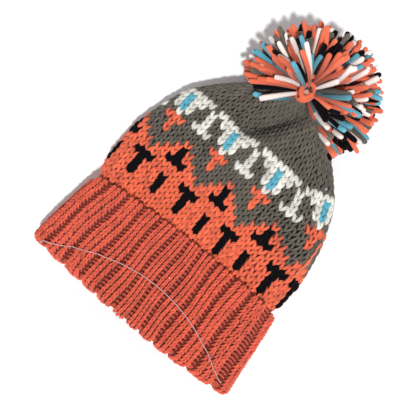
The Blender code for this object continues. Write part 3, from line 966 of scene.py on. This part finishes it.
# strands are pressed up to this height where they meet the table
STRAND_LOWEST = 2.4 * MM
BOBBLE_DIRECTIONS = 1300


def strand_paths(heart, tips, bow):
    """Paths from the bobble's heart to tips: straight lines bowed aside by bow sin(pi t)."""
    t = STRAND_STATIONS[None, :, None]
    heart = np.broadcast_to(heart, tips.shape)[:, None]
    paths = heart + (tips[:, None] - heart) * t + bow[:, None] * np.sin(math.pi * t)
    paths[:, :, 2] = np.maximum(paths[:, :, 2], STRAND_LOWEST)
    return paths


def aimed(away):
    """Azimuth, from the mouth's side through the hat's right, and rise of directions, in degrees."""
    azimuth = np.degrees(np.arctan2(away[:, 0], -away[:, 1]))
    return azimuth, np.degrees(np.arctan2(away[:, 2], np.hypot(away[:, 0], away[:, 1])))


def bobble_strands():
    """Cut yarns from the bobble's heart to its skin, bare over the crown and parted on top."""
    ball = np.array([BOBBLE_OFFSET, HAT_LENGTH + BOBBLE_BEYOND_TIP + Y_SHIFT, BOBBLE_HEIGHT])
    heart = np.array([1.0 * MM, HAT_LENGTH - 2 * MM + Y_SHIFT, BOBBLE_HEIGHT + 5 * MM])
    loose_yarn = np.array([row[0] for row in LOOSE_STRANDS])
    numbers = np.array([row[1:] for row in LOOSE_STRANDS])
    loose_tip = numbers[:, :3] * MM + np.array([0, Y_SHIFT, 0])
    loose_radius = numbers[:, 3] * MM
    bow_of_loose = numbers[:, 4]
    bow = DICE.normal(0, 1.2 * MM, loose_tip.shape)
    bow[:, 2] += bow_of_loose * MM
    # those that sink between the others also leave the heart lower down
    start_lower = 2.4
    sunk = np.minimum(bow[:, 2:3], 0) * np.array([[0, 0, start_lower]])
    loose = strand_paths(heart + sunk, loose_tip, bow)

    direction = bobble_directions(BOBBLE_DIRECTIONS)
    # three in ten are cut short, and the others end close to the ball's skin
    short = DICE.random((len(direction), 1)) < 0.30
    short_reach = DICE.uniform(-0.38, -0.10, short.shape)
    full_reach = DICE.uniform(-0.10, 0.03, short.shape)
    tip = ball + BOBBLE_RADIUS * 0.97 * direction * (1 + np.where(short, short_reach, full_reach))
    tip[:, 2] = np.maximum(tip[:, 2], STRAND_LOWEST)
    away = tip - heart
    azimuth, rise = aimed(away)
    # No strand stands over or under the crown, or in the parting on top. All are in degrees.
    under = -14
    steepest = 64
    over_crown = (azimuth > -64) & (azimuth < 68) & (rise > under)
    under_side = (azimuth > -66) & (azimuth < 66) & (rise <= under)
    aim = away / np.linalg.norm(away, axis=1, keepdims=True)
    loose_aim = (loose_tip - heart) / np.linalg.norm(loose_tip - heart, axis=1, keepdims=True)
    # nor within 4.6 degrees of a listed strand
    near_loose = (aim @ loose_aim.T).max(axis=1) > math.cos(math.radians(4.6))
    # and nothing lies over a strand that bows up over the others
    clear_aside = 10
    clear_below = 16
    top_azimuth, top_rise = aimed(loose_aim[bow_of_loose > 3])
    beside = np.abs((azimuth[:, None] - top_azimuth + 180) % 360 - 180)
    covering = ((beside < clear_aside) & (rise[:, None] > top_rise - clear_below)).any(axis=1)
    keep = ~over_crown & ~under_side & (rise < steepest) & ~near_loose & ~covering
    tip = tip[keep]
    most_bow = 7 * MM
    bow = np.clip(DICE.normal(0, 4.2 * MM, tip.shape), -most_bow, most_bow) + np.array([0, 0, 1.0 * MM])
    # none bows far towards the crown, where it would sink into the knit
    towards_crown = 2.0 * MM
    bow[:, 1] = np.maximum(bow[:, 1], -towards_crown)
    paths = np.concatenate([loose, strand_paths(heart, tip, bow)])
    radius = np.concatenate([loose_radius, DICE.uniform(2.2, 2.9, len(tip)) * MM])
    letters = list(BOBBLE_YARNS)
    picked = DICE.choice(len(letters), len(tip), p=[row[2] for row in BOBBLE_YARNS.values()])
    yarn = np.concatenate([loose_yarn, np.array(letters)[picked]])
    # a strand that lies over the others is lit along more of its length, so it takes less painted shade
    painted_shade_share = np.where(np.concatenate([bow_of_loose > 2, np.zeros(len(tip), bool)]), 0.35, 1.0)
    for letter, (name, code, _) in BOBBLE_YARNS.items():
        chosen = yarn == letter
        yarn_piece("bobble_" + name + "_strands", paths[chosen], (0.02, 0.03, 1.0),
                   radius[chosen, None] * STRAND_SWELL, "cut_yarn",
                   spun_acrylic("cut_" + name + "_yarn", code),
                   painted_shade=painted_shade_share[chosen, None] * STRAND_PAINTED_SHADE, spread=0.13,
                   replaced=("pompom",) if letter == "o" else ())


def wound_tie():
    """The tie: a coral yarn wound into a standing oval loop, with a second loop behind it.

    With t from 0 to 1 the coil makes 1.3 turns of an oval that shrinks as it rises. The loop is
    an arc of an ellipse, the ring round the seat is a circle, and the heart is a low bow.
    """
    t = np.linspace(0, 1, 48)
    middle = np.array([1.0, 271.0, 67.0]) * MM + np.array([0, Y_SHIFT, 0])

    def wound(at, x, y, z):
        """A path round a place, from arrays in millimetres."""
        return at + np.stack([x, y, z], axis=1) * MM

    turn = 2 * math.pi * (1.3 * t - 0.3)
    shrink = 1 - 0.25 * t
    coil_wide = 6.8
    coil_tall = 9.2
    coil = wound(middle, coil_wide * shrink * np.cos(turn), coil_tall * shrink * np.sin(turn),
                 1.0 + 4.0 * t)
    arc = math.pi * (1.15 - 1.25 * t)
    loop_wide = 8.8
    loop_tall = 8.5
    loop = wound(middle, 1.6 + loop_wide * np.cos(arc), loop_tall * (1 + np.sin(arc)),
                 1.0 + 2.0 * np.sin(arc))
    low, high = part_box("pompom_tie")
    seat = (np.array(low) + np.array(high)) / 2
    seat_radius = 5.4
    around = 2 * math.pi * t
    ring = wound(seat, seat_radius * np.cos(around), seat_radius * np.sin(around), 0 * t)
    up = (0.0, 0.05, 1.0)
    radius = 2.35 * MM
    heart_radius = 2.2 * MM
    yarn_piece("tie_yarn", np.stack([coil, loop, ring]), up, radius, "tie_yarn",
               spun_acrylic("wound_coral_yarn", CORAL), sides=8, replaced=("pompom_tie",))
    bow = 1.5 * np.sin(math.pi * t)
    heart = wound(middle, -2.0 + 4.0 * t, -2.5 + bow, 2.0 + bow)
    yarn_piece("tie_heart_yarn", heart[None], up, heart_radius, "tie_yarn",
               spun_acrylic("pale_pink_heart_yarn", HEART_PINK), sides=8)


def pale_thread():
    """A fine pale thread that lies in a low arc over the flap, from corner to corner.

    y = arc_height (1 - (x / arc_half_width)^2) - arc_drop.
    """
    arc_height = 43.6 * MM
    arc_half_width = 115 * MM
    arc_drop = 0.6 * MM
    left_end = -0.2055
    right_end = 0.2045
    share = np.linspace(left_end, right_end, 140)
    place = rib_place(share)
    # x hardly changes up the flap, so one height will do to read it
    x = cuff_point(place, 0.3 + 0 * share, 0 * share)[:, 0]
    y = arc_height * (1 - (x / arc_half_width)**2) - arc_drop
    low = mouth_fold(share) + (CUFF_FLAP + CUFF_SLOT + CUFF_LINING) / 2
    high = CUFF_HEIGHT - CUFF_TOP_BOW * (1 - frontness(share))
    # its ends reach a little way round the fold
    round_fold = -0.07
    way = FOLD_WAY + (1 - FOLD_WAY) * np.clip((y - low) / (high - low), round_fold, 1)
    over_stitches = 0.3 * MM
    wave = DICE.normal(0, 0.12 * MM, len(share))
    # it bridges the furrows, and dips into them by a third of their depth
    bridging = 0.7 * RIB_DEPTH * furrow_depth(place)
    paths = cuff_point(place, way, over_stitches + wave + bridging)[None]
    radius = 0.42 * MM
    yarn_piece("cuff_pale_thread", paths, (0.0, 0.0, 1.0), radius, "rib_knit",
               spun_acrylic("pale_sewing_thread", THREAD, twist_mm=0.8, depth=0.05), sides=5)


def lay_floor():
    """A plain white table top under the hat."""
    half_size = 15.0
    gap = 0.2 * MM
    corners = np.array([(-1, -1), (1, -1), (1, 1), (-1, 1)]) * half_size
    points = np.column_stack([corners, np.full(len(corners), -gap)])
    floor = mesh_piece("table_top", points, [np.array([[0, 1, 2, 3]])], smooth=False)
    material, tree = new_material("white_laminate")
    set_inputs(tree, tree.nodes["Principled BSDF"], {
        "Base Color": (0.93, 0.93, 0.94, 1.0), "Roughness": 0.7})
    floor.data.materials.append(material)


def hang_lights():
    """A small bright lamp high up on the right of the mouth, in a white room: its shadow is close."""
    world = bpy.data.worlds.new("white_room")
    bpy.context.scene.world = world
    world.use_nodes = True
    set_inputs(world.node_tree, world.node_tree.nodes["Background"], {
        "Color": (1.0, 1.0, 1.0, 1.0), "Strength": 0.45})
    lamp = bpy.data.lights.new("key_lamp", "SUN")
    lamp.energy = 2.8
    lamp.angle = math.radians(3.5)
    shining = Vector((-0.24, 0.50, -1.0))
    holder = bpy.data.objects.new("key_lamp", lamp)
    holder.rotation_euler = shining.to_track_quat("-Z", "Y").to_euler()
    bpy.context.scene.collection.objects.link(holder)


def set_camera():
    """A camera nearly overhead on the mouth's side, rolled so that the hat leans to the right."""
    target = Vector((-0.0042, 0.134 + Y_SHIFT, 0.024))
    distance = 0.720
    elevation = math.radians(79)
    roll = math.radians(38.3)
    forward = Vector((0.0, math.cos(elevation), -math.sin(elevation)))
    hat_up = Vector((0.0, math.sin(elevation), math.cos(elevation)))
    hat_right = Vector((1.0, 0.0, 0.0))
    picture_up = math.cos(roll) * hat_up - math.sin(roll) * hat_right
    picture_right = math.sin(roll) * hat_up + math.cos(roll) * hat_right
    data = bpy.data.cameras.new("camera")
    data.sensor_width = 36.0
    data.lens = 64.9
    camera = bpy.data.objects.new("camera", data)
    camera.matrix_world = Matrix.Translation(target - forward * distance) @ Matrix(
        (picture_right, picture_up, -forward)).transposed().to_4x4()
    bpy.context.scene.collection.objects.link(camera)
    bpy.context.scene.camera = camera


set_camera()
hang_lights()
lay_floor()
crown_backing()
knit_crown()
seam_yarn()
cuff_backing()
knit_cuff()
bobble_strands()
wound_tie()
pale_thread()
bpy.context.scene.view_settings.view_transform = "Standard"
